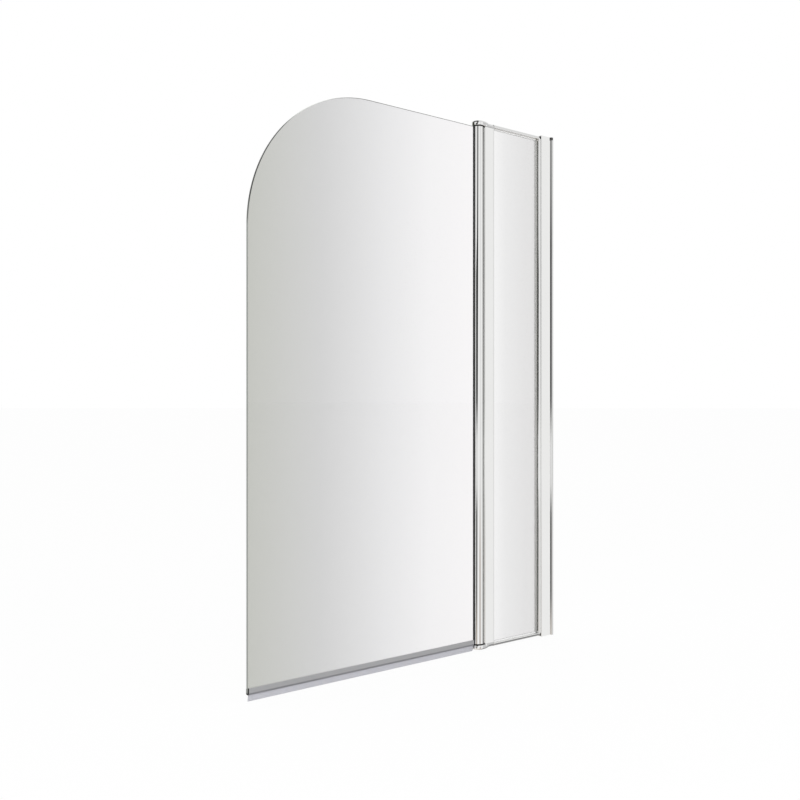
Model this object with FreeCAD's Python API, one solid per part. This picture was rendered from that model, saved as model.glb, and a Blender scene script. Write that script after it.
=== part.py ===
"""Over-bath screen: a hinged glass door beside a narrow fixed glass panel, with a wall channel.

Millimetres. The wall is the plane x = 0 and the screen runs from it towards -X, so that the
door's free edge is at x = -overall_width. The glass lies in the plane y = 0, -Y is the side seen
from the room and +Y is the bathing side. z = 0 is the bath rim, +Z is up.
"""
import FreeCAD, Part
import math
import os

Vec = FreeCAD.Vector

# ---------------------------------------------------------------- driving sizes
overall_height = 1433.0        # bath rim to the top of the hinge caps
overall_width = 1005.0         # wall to the free edge of the door
axis_from_wall = 283.5         # hinge axis to the wall, at rest
glass_thickness = 6.0
door_corner_radius = 347.0     # round top corner of the door

foot_gap = 1.5                 # bed of sealant under the rails and the jamb

# wall channel, an extrusion screwed to the wall
channel_web = 2.2              # wall thickness against the wall
channel_flange = 2.0
channel_lip = 0.8              # flange thickness at its thinned edge
channel_lip_run = 4.0          # length over which the flange thins
bead_width = 10.5              # raised round bead along the wall
bead_height = 4.5
bead_cap_height = 8.0          # part of the bead that the top cap makes
channel_plug_plate = 1.2
wall_screw_radius = 2.5
wall_screw_count = 3
wall_screw_spacing = 620.0

# telescoping of the jamb in the wall channel
adjust_in = 8.0
adjust_out = 12.0
screw_head_room = 3.0          # room for the heads of the wall screws
least_overlap = 22.1           # jamb left in the channel when fully drawn out
slide_clearance = 0.3

# jamb, the extrusion that holds the fixed glass
jamb_depth = 28.0
jamb_width = 42.0
jamb_wall = 1.6
jamb_nose_radius = 4.5
jamb_plug_plate = 1.5
jamb_plug_length = 9.0

# locking screws of the telescoping joint
lock_screw_radius = 2.5
lock_screw_length = 4.0
lock_screw_key = 2.5           # across the flats of the hexagon socket
lock_cap_radius = 3.5
lock_cap_height = 5.0
lock_cap_wall = 0.8
lock_screw_tip_gap = 0.3
lock_screw_end_distance = 160.0

# glazing pockets and their rubber
pocket_depth = 14.0
gasket_thickness = 1.5
gasket_lip = 1.6               # part of the rubber that shows beside the glass
glass_end_gap = 1.0

# rails along the top and bottom edges of the fixed glass
rail_depth = 26.0
rail_height = 9.0
rail_groove = 5.5
rail_wall = 1.5
rail_edge_radius = 0.8
rail_joint_gap = 0.3

# hinge post, the static flat extrusion beside the barrel
post_depth = 26.0
post_reach = 48.8              # hinge axis to the post's glazed edge
post_wall = 1.8
post_edge_radius = 1.0
barrel_gap = 0.6               # hollow face of the post to the barrel
wiper_width = 3.0
wiper_seat = 2.2
wiper_tip_gap = 0.3

# turning barrel on the door
barrel_radius = 15.5
barrel_wall = 2.2
barrel_pocket_floor = 5.0      # hinge axis to the floor of the glass pocket
barrel_pocket_wall = 1.4
barrel_gasket_thickness = 1.4

# hinge caps, pins and bearings
cap_boss_height = 13.0         # round boss under the barrel
cap_radius = 17.3
cap_skirt = 0.6                # the cap stands this far outside the post
cap_taper_reach = 32.0         # hinge axis to the end of the round boss's taper
cap_round = 3.5
cap_slot_floor = 2.0
pin_radius = 3.0
pin_seat = 9.0                 # length pressed into the cap
pin_clearance = 0.05
thrust_washer = 1.0
bearing_gap = 0.3
plug_flange = 2.2
plug_length = 20.0
plug_fit = 0.1
cap_screw_radius = 2.1
cap_screw_head = 4.0
cap_screw_length = 28.0
cap_screw_hole_gap = 0.15
cap_screw_offset = 7.5         # screws stand this far each side of the glass plane
cap_screw_reach = 24.0         # hinge axis to the screws
screw_boss_wall = 1.7

# seal along the bottom edge of the door
seal_grip = 11.5               # height of the legs beside the glass
seal_leg = 1.2
seal_web = 2.7
seal_fin_drop = 3.0            # relaxed fin below the bath rim
seal_fin_root = 1.8
seal_fin_tip = 0.7
seal_fin_lean = 2.4
seal_play = 0.05
seal_end_length = 3.0
seal_barrel_gap = 1.7

# ---------------------------------------------------------------- places worked out from them
axis_x = -axis_from_wall
free_edge_x = -overall_width
half_glass = glass_thickness / 2
half_pocket = half_glass + gasket_thickness
half_jamb = jamb_depth / 2
half_rail = rail_depth / 2
half_post = post_depth / 2

top_z = overall_height
rail_top_z = overall_height - foot_gap
rail_bottom_z = foot_gap

jamb_end_x = -(channel_web + screw_head_room + adjust_in)
jamb_nose_x = jamb_end_x - jamb_width
jamb_floor_x = jamb_nose_x + pocket_depth
channel_width = -jamb_end_x + adjust_out + least_overlap
channel_inside = half_jamb + slide_clearance
channel_outside = channel_inside + channel_flange
bead_crest = channel_outside + bead_height

post_edge_x = axis_x + post_reach
cap_horn_reach = math.sqrt((barrel_radius + barrel_gap) ** 2 - half_post ** 2)
post_floor_x = post_edge_x - pocket_depth
cap_end_x = post_edge_x + cap_skirt
cap_half = half_post + cap_skirt

cap_height = cap_boss_height + thrust_washer + bearing_gap + plug_flange
post_bottom_z = cap_height
post_top_z = top_z - cap_height
barrel_bottom_z = cap_height
barrel_top_z = top_z - cap_height
barrel_pocket_half = half_glass + barrel_gasket_thickness
barrel_bore = barrel_radius - barrel_wall
barrel_floor_x = axis_x - barrel_pocket_floor

glass_bottom_z = rail_bottom_z + rail_height - rail_groove + gasket_thickness / 2
glass_top_z = rail_top_z - rail_height + rail_groove - gasket_thickness / 2


# ---------------------------------------------------------------- helpers
def outline(corners):
    """Closed face in the XY plane through corners (x, y, radius); radius rounds the corner."""
    count = len(corners)
    starts = []
    ends = []
    arcs = []
    for i in range(count):
        here = Vec(corners[i][0], corners[i][1], 0)
        radius = corners[i][2] if len(corners[i]) > 2 else 0.0
        if radius <= 0:
            starts.append(here)
            ends.append(here)
            arcs.append(None)
            continue
        back = Vec(corners[i - 1][0], corners[i - 1][1], 0) - here
        ahead = Vec(corners[(i + 1) % count][0], corners[(i + 1) % count][1], 0) - here
        back.normalize()
        ahead.normalize()
        half_angle = back.getAngle(ahead) / 2
        run = radius / math.tan(half_angle)
        middle_line = (back + ahead).normalize()
        middle = here + middle_line * (radius / math.sin(half_angle) - radius)
        starts.append(here + back * run)
        ends.append(here + ahead * run)
        arcs.append(middle)
    edges = []
    for i in range(count):
        if arcs[i] is not None:
            edges.append(Part.Arc(starts[i], arcs[i], ends[i]).toShape())
        following = starts[(i + 1) % count]
        if (following - ends[i]).Length > 1e-6:
            edges.append(Part.LineSegment(ends[i], following).toShape())
    return Part.Face(Part.Wire(edges))


def mirrored(corners):
    """Corners given on the +Y side, completed by their mirror images on the -Y side."""
    other_side = [(c[0], -c[1]) + tuple(c[2:]) for c in reversed(corners)]
    return corners + other_side


def upright(face, z0, z1):
    """Extrusion of a section in the XY plane from z0 to z1."""
    lifted = face.copy()
    lifted.translate(Vec(0, 0, z0))
    return lifted.extrude(Vec(0, 0, z1 - z0))


def lengthwise(corners, x0, x1):
    """Extrusion along X of a section whose corners are given as (y, z, radius)."""
    face = outline(corners)
    turned = face.copy()
    turned.transformShape(FreeCAD.Matrix(0, 0, 1, x0, 1, 0, 0, 0, 0, 1, 0, 0, 0, 0, 0, 1))
    return turned.extrude(Vec(x1 - x0, 0, 0))


def block(x0, x1, y0, y1, z0, z1):
    return Part.makeBox(x1 - x0, y1 - y0, z1 - z0, Vec(x0, y0, z0))


def rod(x, y, radius, z0, z1):
    return Part.makeCylinder(radius, z1 - z0, Vec(x, y, z0), Vec(0, 0, 1))


def upside_down(shape):
    """The same piece turned over to stand at the other end of the screen."""
    turned = shape.copy()
    turned.rotate(Vec(0, 0, overall_height / 2), Vec(1, 0, 0), 180)
    return turned


def save(name, shape):
    shape.exportStep("parts/" + name + ".step")


# ---------------------------------------------------------------- wall side
def channel_corners():
    """Half of the wall channel's section, from the wall round to its inner web."""
    return [
        (0, bead_crest, bead_height),
        (-bead_width, bead_crest, bead_height),
        (-bead_width, channel_outside),
        (-channel_width + channel_lip_run, channel_outside),
        (-channel_width, channel_inside + channel_lip),
        (-channel_width, channel_inside),
        (-channel_web, channel_inside),
    ]


def bead_corners(side):
    """Section of one bead alone, on the side +1 or -1."""
    return [
        (0, side * channel_outside),
        (0, side * bead_crest, bead_height),
        (-bead_width, side * bead_crest, bead_height),
        (-bead_width, side * channel_outside),
    ]


def wall_screw_heights():
    first = overall_height / 2 - wall_screw_spacing * (wall_screw_count - 1) / 2
    return [first + wall_screw_spacing * i for i in range(wall_screw_count)]


def lock_screw_heights():
    return [lock_screw_end_distance, overall_height / 2, overall_height - lock_screw_end_distance]


lock_screw_x = -(channel_width + bead_width) / 2
cap_seat_z = rail_top_z + slide_clearance


def wall_channel():
    body = upright(outline(mirrored(channel_corners())), 0, top_z)
    # the top cap takes the place of the beads' ends and of the web's upper edge
    for side in (1, -1):
        body = body.cut(upright(outline(bead_corners(side)), top_z - bead_cap_height, top_z))
    body = body.cut(block(-bead_width, 0, -channel_outside, channel_outside, cap_seat_z, top_z))
    for z in wall_screw_heights():
        start = Vec(-1.5 * channel_web, 0, z)
        hole = Part.makeCylinder(wall_screw_radius, 2 * channel_web, start, Vec(1, 0, 0))
        body = body.cut(hole)
    for z in lock_screw_heights():
        hole = Part.makeCylinder(lock_screw_radius, 2 * channel_flange,
                                 Vec(lock_screw_x, channel_inside - channel_flange / 2, z), Vec(0, 1, 0))
        body = body.cut(hole)
    return body


def wall_channel_top_cap():
    cap = block(-bead_width, 0, -channel_outside, channel_outside, cap_seat_z, top_z)
    cap = cap.fuse(block(-channel_width, -bead_width, -channel_inside, channel_inside, cap_seat_z, top_z))
    for side in (1, -1):
        cap = cap.fuse(upright(outline(bead_corners(side)), top_z - bead_cap_height, top_z))
    return cap.removeSplitter()


def wall_channel_foot_plug():
    return block(-channel_width + slide_clearance, -channel_web, -channel_inside, channel_inside,
                 0, channel_plug_plate)


def lock_screws():
    tip_y = half_jamb + lock_screw_tip_gap
    screws = []
    for z in lock_screw_heights():
        screw = Part.makeCylinder(lock_screw_radius - pin_clearance, lock_screw_length,
                                  Vec(lock_screw_x, tip_y, z), Vec(0, 1, 0))
        across_corners = lock_screw_key / math.cos(math.pi / 6)
        ring = []
        for i in range(6):
            angle = i * math.pi / 3
            ring.append(Vec(lock_screw_x + across_corners / 2 * math.cos(angle), tip_y + lock_screw_length,
                            z + across_corners / 2 * math.sin(angle)))
        ring.append(ring[0])
        socket = Part.Face(Part.makePolygon(ring)).extrude(Vec(0, -lock_screw_length / 2, 0))
        screws.append(screw.cut(socket))
    return Part.makeCompound(screws)


def lock_screw_caps():
    caps = []
    for z in lock_screw_heights():
        seat = Vec(lock_screw_x, channel_outside, z)
        dome = Part.makeCylinder(lock_cap_radius, lock_cap_height, seat, Vec(0, 1, 0))
        dome = dome.makeFillet(lock_cap_height / 3, [dome.Edges[0]])
        hollow = Part.makeCylinder(lock_cap_radius - lock_cap_wall, lock_cap_height - lock_cap_wall,
                                   seat, Vec(0, 1, 0))
        caps.append(dome.cut(hollow))
    return Part.makeCompound(caps)


# ---------------------------------------------------------------- fixed panel
def jamb_profile():
    section = outline(mirrored([
        (jamb_end_x, half_jamb, rail_edge_radius),
        (jamb_nose_x, half_jamb, jamb_nose_radius),
        (jamb_nose_x, half_pocket),
        (jamb_floor_x, half_pocket),
    ]))
    body = upright(section, rail_bottom_z + jamb_plug_plate, rail_top_z - jamb_plug_plate)
    inside = half_jamb - jamb_wall
    body = body.cut(upright(jamb_chamber(), 0, top_z))
    side_start = jamb_nose_x + jamb_nose_radius
    for side in (1, -1):
        near = side * (half_pocket + jamb_wall)
        far = side * inside
        body = body.cut(block(side_start, jamb_floor_x, min(near, far), max(near, far), 0, top_z))
    # the nose makes room for the two rails
    room = rail_height + rail_joint_gap
    for z0 in (rail_bottom_z, rail_top_z - room):
        body = body.cut(block(jamb_nose_x - 1, jamb_floor_x, -jamb_depth, jamb_depth, z0, z0 + room))
    return body


def jamb_chamber():
    """Section of the hollow between the floor of the glass pocket and the jamb's tail."""
    inside = half_jamb - jamb_wall
    return outline([
        (jamb_floor_x + jamb_wall, -inside),
        (jamb_end_x - jamb_wall, -inside),
        (jamb_end_x - jamb_wall, inside),
        (jamb_floor_x + jamb_wall, inside),
    ])


def jamb_bottom_plug():
    plate = outline([
        (jamb_floor_x + rail_joint_gap, -half_jamb),
        (jamb_end_x, -half_jamb, rail_edge_radius),
        (jamb_end_x, half_jamb, rail_edge_radius),
        (jamb_floor_x + rail_joint_gap, half_jamb),
    ])
    z0 = rail_bottom_z
    z1 = z0 + jamb_plug_plate
    plug = upright(plate, z0, z1)
    spigot = upright(jamb_chamber(), z1, z1 + jamb_plug_length)
    return plug.fuse(spigot).removeSplitter()


def fixed_glass():
    return block(post_floor_x + glass_end_gap, jamb_floor_x - glass_end_gap,
                 -half_glass, half_glass, glass_bottom_z, glass_top_z)


def side_gasket(floor_x, mouth_x):
    """Rubber round one upright edge of the fixed glass, U-shaped in plan, between the rails."""
    toward = 1 if mouth_x > floor_x else -1
    lip_x = mouth_x + toward * gasket_lip
    bottom = floor_x + toward * glass_end_gap
    section = [
        (floor_x, half_pocket),
        (lip_x, half_pocket, gasket_thickness / 2),
        (lip_x, half_glass),
        (bottom, half_glass),
    ]
    return outline(mirrored(section))


def post_gasket():
    return upright(side_gasket(post_floor_x, post_edge_x),
                   rail_bottom_z + rail_height + rail_joint_gap, rail_top_z - rail_height - rail_joint_gap)


def jamb_gasket():
    return upright(side_gasket(jamb_floor_x, jamb_nose_x),
                   rail_bottom_z + rail_height + rail_joint_gap, rail_top_z - rail_height - rail_joint_gap)


rail_start_x = cap_end_x
rail_end_x = jamb_floor_x - rail_joint_gap


def bottom_rail():
    z0 = rail_bottom_z
    z1 = z0 + rail_height
    body = lengthwise(mirrored_yz([
        (half_rail, z0, rail_edge_radius),
        (half_rail, z1, rail_edge_radius),
        (half_pocket, z1),
        (half_pocket, z1 - rail_groove),
    ]), rail_start_x, rail_end_x)
    for side in (1, -1):
        near = side * (half_pocket + rail_wall)
        far = side * (half_rail - rail_wall)
        chamber = block(rail_start_x, rail_end_x, min(near, far), max(near, far),
                        z0 + rail_wall, z1 - rail_wall)
        body = body.cut(chamber)
    return body


def mirrored_yz(corners):
    """Corners (y, z, radius) on the +Y side, completed by their mirror images."""
    other_side = [(-c[0],) + tuple(c[1:]) for c in reversed(corners)]
    return corners + other_side


def bottom_rail_gasket():
    floor_z = rail_bottom_z + rail_height - rail_groove
    lip_z = rail_bottom_z + rail_height + gasket_lip / 2
    section = mirrored_yz([
        (half_pocket, floor_z),
        (half_pocket, lip_z, gasket_thickness / 2),
        (half_glass, lip_z),
        (half_glass, glass_bottom_z),
    ])
    clear = gasket_lip + rail_joint_gap
    return lengthwise(section, rail_start_x + clear, jamb_nose_x - clear)


def hinge_post():
    section = outline([
        (axis_x, -half_post),
        (post_edge_x, -half_post, post_edge_radius),
        (post_edge_x, -half_pocket),
        (post_floor_x, -half_pocket),
        (post_floor_x, half_pocket),
        (post_edge_x, half_pocket),
        (post_edge_x, half_post, post_edge_radius),
        (axis_x, half_post),
    ])
    body = upright(section, post_bottom_z, post_top_z)
    hollow_radius = barrel_radius + barrel_gap
    body = body.cut(rod(axis_x, 0, hollow_radius, 0, top_z))
    inside = half_post - post_wall
    chamber_start = axis_x + hollow_radius + wiper_seat + post_wall
    chamber = block(chamber_start, post_edge_x - post_wall, -inside, inside, 0, top_z)
    pocket_wall = block(post_floor_x - post_wall, post_edge_x, -half_pocket - post_wall,
                        half_pocket + post_wall, 0, top_z)
    chamber = chamber.cut(pocket_wall)
    for x, y in cap_screw_places():
        chamber = chamber.cut(rod(x, y, cap_screw_radius + screw_boss_wall, 0, top_z))
    body = body.cut(chamber)
    for x, y in cap_screw_places():
        body = body.cut(rod(x, y, cap_screw_radius, 0, top_z))
    seat = block(axis_x, axis_x + hollow_radius + wiper_seat, -wiper_width / 2, wiper_width / 2, 0, top_z)
    return body.cut(seat)


def barrel_wiper():
    hollow_radius = barrel_radius + barrel_gap
    strip = block(axis_x, axis_x + hollow_radius + wiper_seat, -wiper_width / 2, wiper_width / 2,
                  post_bottom_z, post_top_z)
    return strip.cut(rod(axis_x, 0, barrel_radius + wiper_tip_gap, 0, top_z))


# ---------------------------------------------------------------- hinge
def bottom_hinge_cap():
    boss = rod(axis_x, 0, cap_radius, 0, cap_boss_height)
    boss = boss.makeFillet(cap_round, [e for e in boss.Edges if e.BoundBox.ZMax < 0.01])
    # the body is tangent to the boss and narrows to the post's depth
    distance = math.hypot(cap_taper_reach, cap_half)
    tangent = math.atan2(cap_half, cap_taper_reach) + math.acos(cap_radius / distance)
    section = outline(mirrored([
        (axis_x + cap_radius * math.cos(tangent), cap_radius * math.sin(tangent)),
        (axis_x + cap_taper_reach, cap_half),
        (cap_end_x, cap_half, post_edge_radius),
    ]))
    body = upright(section, foot_gap, cap_height)
    cap = boss.fuse(body).removeSplitter()
    # beside the post the cap is higher, and hollowed out round the barrel
    room = block(axis_x - 2 * cap_radius, axis_x + cap_horn_reach, -cap_radius, cap_radius,
                 cap_boss_height, cap_height)
    cap = cap.cut(room)
    cap = cap.cut(rod(axis_x, 0, barrel_radius + barrel_gap, cap_boss_height, cap_height))
    cap = cap.cut(rod(axis_x, 0, pin_radius, cap_boss_height - pin_seat, cap_height))
    slot = block(post_floor_x, cap_end_x + 1, -half_pocket, half_pocket,
                 foot_gap + cap_slot_floor, cap_height + 1)
    cap = cap.cut(slot)
    for x, y in cap_screw_places():
        cap = cap.cut(rod(x, y, cap_screw_radius + cap_screw_hole_gap, 0, cap_height + 1))
        cap = cap.cut(countersink(x, y, cap_screw_hole_gap))
    return cap


def cap_screw_places():
    x = axis_x + cap_screw_reach
    return [(x, -cap_screw_offset), (x, cap_screw_offset)]


def countersink(x, y, gap):
    depth = cap_screw_head - cap_screw_radius
    wide = cap_screw_head + gap
    return Part.makeCone(wide, wide - depth, depth, Vec(x, y, foot_gap), Vec(0, 0, 1))


def bottom_cap_screws():
    screws = []
    for x, y in cap_screw_places():
        screw = rod(x, y, cap_screw_radius - pin_clearance, foot_gap, foot_gap + cap_screw_length)
        screw = screw.fuse(countersink(x, y, 0))
        slot_reach = 0.6 * cap_screw_head
        slot_half = 0.12 * cap_screw_head
        slot_depth = 0.35 * cap_screw_head
        z0 = foot_gap - 1
        z1 = foot_gap + slot_depth
        screw = screw.cut(block(x - slot_reach, x + slot_reach, y - slot_half, y + slot_half, z0, z1))
        screw = screw.cut(block(x - slot_half, x + slot_half, y - slot_reach, y + slot_reach, z0, z1))
        screws.append(screw)
    return Part.makeCompound(screws)


pin_end_z = barrel_bottom_z + plug_length - 4.0


def bottom_pivot_pin():
    pin = rod(axis_x, 0, pin_radius, cap_boss_height - pin_seat, pin_end_z)
    return pin.makeChamfer(pin_radius / 5, [e for e in pin.Edges if e.BoundBox.ZMin > pin_end_z - 0.01])


def bottom_thrust_washer():
    washer = rod(axis_x, 0, barrel_radius, cap_boss_height, cap_boss_height + thrust_washer)
    return washer.cut(rod(axis_x, 0, pin_radius + pin_clearance, 0, top_z))


def barrel_chamber(shrink):
    """Section of the barrel's hollow beyond the glass pocket, drawn in by shrink."""
    circle = Part.Face(Part.Wire(Part.makeCircle(barrel_bore - shrink, Vec(axis_x, 0, 0))))
    left = barrel_floor_x + barrel_pocket_wall + shrink
    half_plane = outline([
        (left, -barrel_radius),
        (axis_x + barrel_radius, -barrel_radius),
        (axis_x + barrel_radius, barrel_radius),
        (left, barrel_radius),
    ])
    return circle.common(half_plane).Faces[0]


def bottom_barrel_plug():
    flange = rod(axis_x, 0, barrel_radius - plug_fit, barrel_bottom_z - plug_flange, barrel_bottom_z)
    spigot = upright(barrel_chamber(plug_fit), barrel_bottom_z, barrel_bottom_z + plug_length)
    plug = flange.fuse(spigot).removeSplitter()
    return plug.cut(rod(axis_x, 0, pin_radius + pin_clearance, 0, top_z))


# ---------------------------------------------------------------- door
def door_barrel():
    body = rod(axis_x, 0, barrel_radius, barrel_bottom_z, barrel_top_z)
    body = body.cut(upright(barrel_chamber(0), 0, top_z))
    pocket = block(axis_x - 2 * barrel_radius, barrel_floor_x,
                   -barrel_pocket_half, barrel_pocket_half, 0, top_z)
    body = body.cut(pocket)
    # light chambers each side of the glass pocket
    side_wall = barrel_pocket_half + barrel_pocket_wall
    ring = rod(axis_x, 0, barrel_bore, 0, top_z)
    for side in (1, -1):
        near = side * side_wall
        far = side * barrel_radius
        chamber = block(axis_x - barrel_radius, barrel_floor_x, min(near, far), max(near, far), 0, top_z)
        body = body.cut(chamber.common(ring))
    return body


def barrel_gasket(side):
    near = side * half_glass
    far = side * barrel_pocket_half
    strip = block(axis_x - barrel_radius, barrel_floor_x, min(near, far), max(near, far),
                  barrel_bottom_z, barrel_top_z)
    return strip.common(rod(axis_x, 0, barrel_radius, 0, top_z))


def door_glass():
    inner_x = barrel_floor_x - glass_end_gap
    radius = door_corner_radius
    start = Vec(free_edge_x, 0, barrel_top_z - radius)
    crest = Vec(free_edge_x + radius, 0, barrel_top_z)
    bend = Vec(free_edge_x + radius * (1 - math.sqrt(0.5)), 0, barrel_top_z - radius * (1 - math.sqrt(0.5)))
    lower_free = Vec(free_edge_x, 0, barrel_bottom_z)
    lower_inner = Vec(inner_x, 0, barrel_bottom_z)
    upper_inner = Vec(inner_x, 0, barrel_top_z)
    pane = Part.Face(Part.Wire([
        Part.LineSegment(lower_free, start).toShape(),
        Part.Arc(start, bend, crest).toShape(),
        Part.LineSegment(crest, upper_inner).toShape(),
        Part.LineSegment(upper_inner, lower_inner).toShape(),
        Part.LineSegment(lower_inner, lower_free).toShape(),
    ]))
    pane.translate(Vec(0, -half_glass, 0))
    return pane.extrude(Vec(0, glass_thickness, 0))


seal_inner_x = axis_x - cap_radius - seal_barrel_gap
clip_half = half_glass + seal_play + seal_leg
clip_top_z = barrel_bottom_z + seal_grip


def clip_corners(web):
    """Section (y, z) of the U that grips the glass, with a web of the given thickness."""
    grip = half_glass + seal_play
    under = barrel_bottom_z - seal_play
    return [
        (-clip_half, clip_top_z, seal_leg / 3),
        (-clip_half, under - web, seal_leg / 2),
        (clip_half, under - web, seal_leg / 2),
        (clip_half, clip_top_z, seal_leg / 3),
        (grip, clip_top_z),
        (grip, under),
        (-grip, under),
        (-grip, clip_top_z),
    ]


def bottom_seal():
    x0 = free_edge_x + seal_end_length
    clip = lengthwise(clip_corners(seal_web), x0, seal_inner_x)
    root_z = barrel_bottom_z - seal_play - seal_web
    fin = lengthwise([
        (-seal_fin_root / 2, root_z),
        (seal_fin_lean - seal_fin_tip / 2, -seal_fin_drop),
        (seal_fin_lean + seal_fin_tip / 2, -seal_fin_drop),
        (seal_fin_root / 2, root_z),
        (seal_fin_root / 2, root_z + seal_web / 2),
        (-seal_fin_root / 2, root_z + seal_web / 2),
    ], x0, seal_inner_x)
    return clip.fuse(fin).removeSplitter()


def seal_end_stop():
    return lengthwise(clip_corners(seal_web + seal_leg), free_edge_x, free_edge_x + seal_end_length)


# ---------------------------------------------------------------- the parts
os.makedirs("parts", exist_ok=True)

save("wall_channel", wall_channel())
save("wall_channel_top_cap", wall_channel_top_cap())
save("wall_channel_foot_plug", wall_channel_foot_plug())
save("lock_screws", lock_screws())
save("lock_screw_caps", lock_screw_caps())

save("jamb_profile", jamb_profile())
save("jamb_bottom_plug", jamb_bottom_plug())
save("jamb_top_plug", upside_down(jamb_bottom_plug()))
save("fixed_glass", fixed_glass())
save("post_gasket", post_gasket())
save("jamb_gasket", jamb_gasket())
save("bottom_rail", bottom_rail())
save("top_rail", upside_down(bottom_rail()))
save("bottom_rail_gasket", bottom_rail_gasket())
save("top_rail_gasket", upside_down(bottom_rail_gasket()))
save("hinge_post", hinge_post())
save("barrel_wiper", barrel_wiper())

save("bottom_hinge_cap", bottom_hinge_cap())
save("top_hinge_cap", upside_down(bottom_hinge_cap()))
save("bottom_cap_screws", bottom_cap_screws())
save("top_cap_screws", upside_down(bottom_cap_screws()))
save("bottom_pivot_pin", bottom_pivot_pin())
save("top_pivot_pin", upside_down(bottom_pivot_pin()))
save("bottom_thrust_washer", bottom_thrust_washer())
save("top_thrust_washer", upside_down(bottom_thrust_washer()))

save("door_barrel", door_barrel())
save("bottom_barrel_plug", bottom_barrel_plug())
save("top_barrel_plug", upside_down(bottom_barrel_plug()))
save("barrel_gasket_front", barrel_gasket(-1))
save("barrel_gasket_back", barrel_gasket(1))
save("door_glass", door_glass())
save("bottom_seal", bottom_seal())
save("seal_end_stop", seal_end_stop())
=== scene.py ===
import math

import bmesh
import bpy
import numpy as np
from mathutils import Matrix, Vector


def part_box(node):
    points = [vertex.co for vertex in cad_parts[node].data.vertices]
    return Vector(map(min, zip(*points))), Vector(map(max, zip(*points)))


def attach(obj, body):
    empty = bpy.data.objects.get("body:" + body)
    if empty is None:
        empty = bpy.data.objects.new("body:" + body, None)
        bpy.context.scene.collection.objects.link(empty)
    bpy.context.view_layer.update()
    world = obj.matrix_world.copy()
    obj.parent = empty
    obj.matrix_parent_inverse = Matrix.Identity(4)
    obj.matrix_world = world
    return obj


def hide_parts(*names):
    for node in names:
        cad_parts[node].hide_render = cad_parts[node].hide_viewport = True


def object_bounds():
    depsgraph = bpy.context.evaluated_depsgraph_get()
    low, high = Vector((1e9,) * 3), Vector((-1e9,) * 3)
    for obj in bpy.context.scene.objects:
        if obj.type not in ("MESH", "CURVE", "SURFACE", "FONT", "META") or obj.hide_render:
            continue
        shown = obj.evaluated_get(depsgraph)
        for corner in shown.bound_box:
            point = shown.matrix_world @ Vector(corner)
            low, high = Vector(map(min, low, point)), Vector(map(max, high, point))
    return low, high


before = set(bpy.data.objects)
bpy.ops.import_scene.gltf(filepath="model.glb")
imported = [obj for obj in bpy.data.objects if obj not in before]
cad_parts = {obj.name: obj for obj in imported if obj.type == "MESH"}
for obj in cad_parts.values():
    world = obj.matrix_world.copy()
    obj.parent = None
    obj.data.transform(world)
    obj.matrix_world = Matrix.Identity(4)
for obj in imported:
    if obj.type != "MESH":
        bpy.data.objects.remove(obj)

cad_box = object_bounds()
scene = bpy.context.scene


# ---------------------------------------------------------------------------------------------
# Wall channel, a U-shaped aluminium extrusion, bright polished to look like chrome and screwed to
# the wall. The die leaves fine lines along it. Along the wall each flange rises into a bead with
# a slanting side, which stops 8 mm below the top, where the cap's end sits, painted dark as the
# hollow bead's shade.
# ---------------------------------------------------------------------------------------------
def new_material(name):
    """An empty node material with its output and one Principled BSDF joined to it."""
    material = bpy.data.materials.new(name)
    material.use_nodes = True
    tree = material.node_tree
    tree.nodes.clear()
    output = tree.nodes.new("ShaderNodeOutputMaterial")
    shader = tree.nodes.new("ShaderNodeBsdfPrincipled")
    tree.links.new(shader.outputs["BSDF"], output.inputs["Surface"])
    return material, tree, shader


def new_group(name, inputs, outputs):
    """An empty shader node group; inputs and outputs are (name, kind, default) and (name, kind)."""
    tree = bpy.data.node_groups.new(name, "ShaderNodeTree")
    for label, kind, default in inputs:
        socket = tree.interface.new_socket(label, in_out="INPUT", socket_type="NodeSocket" + kind)
        socket.default_value = default
    for label, kind in outputs:
        tree.interface.new_socket(label, in_out="OUTPUT", socket_type="NodeSocket" + kind)
    return tree, tree.nodes.new("NodeGroupInput"), tree.nodes.new("NodeGroupOutput")


def use_group(tree, group, **values):
    """Places a group in a material; underscores in a value's name stand for spaces."""
    node = tree.nodes.new("ShaderNodeGroup")
    node.node_tree = group
    for label, value in values.items():
        node.inputs[label.replace("_", " ")].default_value = value
    return node


def object_place(tree, scale=(1.0, 1.0, 1.0)):
    """Object coordinates in metres, through a Mapping node that stretches them."""
    place = tree.nodes.new("ShaderNodeTexCoord")
    mapping = tree.nodes.new("ShaderNodeMapping")
    mapping.inputs["Scale"].default_value = scale
    tree.links.new(place.outputs["Object"], mapping.inputs["Vector"])
    return mapping


# Wiped-surface mask: two noises, one for the broad smears of a cloth and one for small dried
# drops, added and cut to 0..1. Every material of the screen but the seal's uses it.
wiped, wiped_in, wiped_out = new_group(
    "wiped surface",
    [("Place", "Vector", (0.0, 0.0, 0.0)), ("Smear Scale", "Float", 6.0), ("Drop Scale", "Float", 180.0)],
    [("Mask", "Float")])
smear = wiped.nodes.new("ShaderNodeTexNoise")
smear.inputs["Detail"].default_value = 4.0
drops = wiped.nodes.new("ShaderNodeTexVoronoi")
drop_edge = wiped.nodes.new("ShaderNodeMapRange")
drop_edge.inputs["From Min"].default_value = 0.10
drop_edge.inputs["From Max"].default_value = 0.22
drop_edge.inputs["To Min"].default_value = 0.5
drop_edge.inputs["To Max"].default_value = 0.0
both = wiped.nodes.new("ShaderNodeMath")
both.operation = "MULTIPLY_ADD"
both.use_clamp = True
wiped.links.new(wiped_in.outputs["Place"], smear.inputs["Vector"])
wiped.links.new(wiped_in.outputs["Smear Scale"], smear.inputs["Scale"])
wiped.links.new(wiped_in.outputs["Place"], drops.inputs["Vector"])
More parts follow.
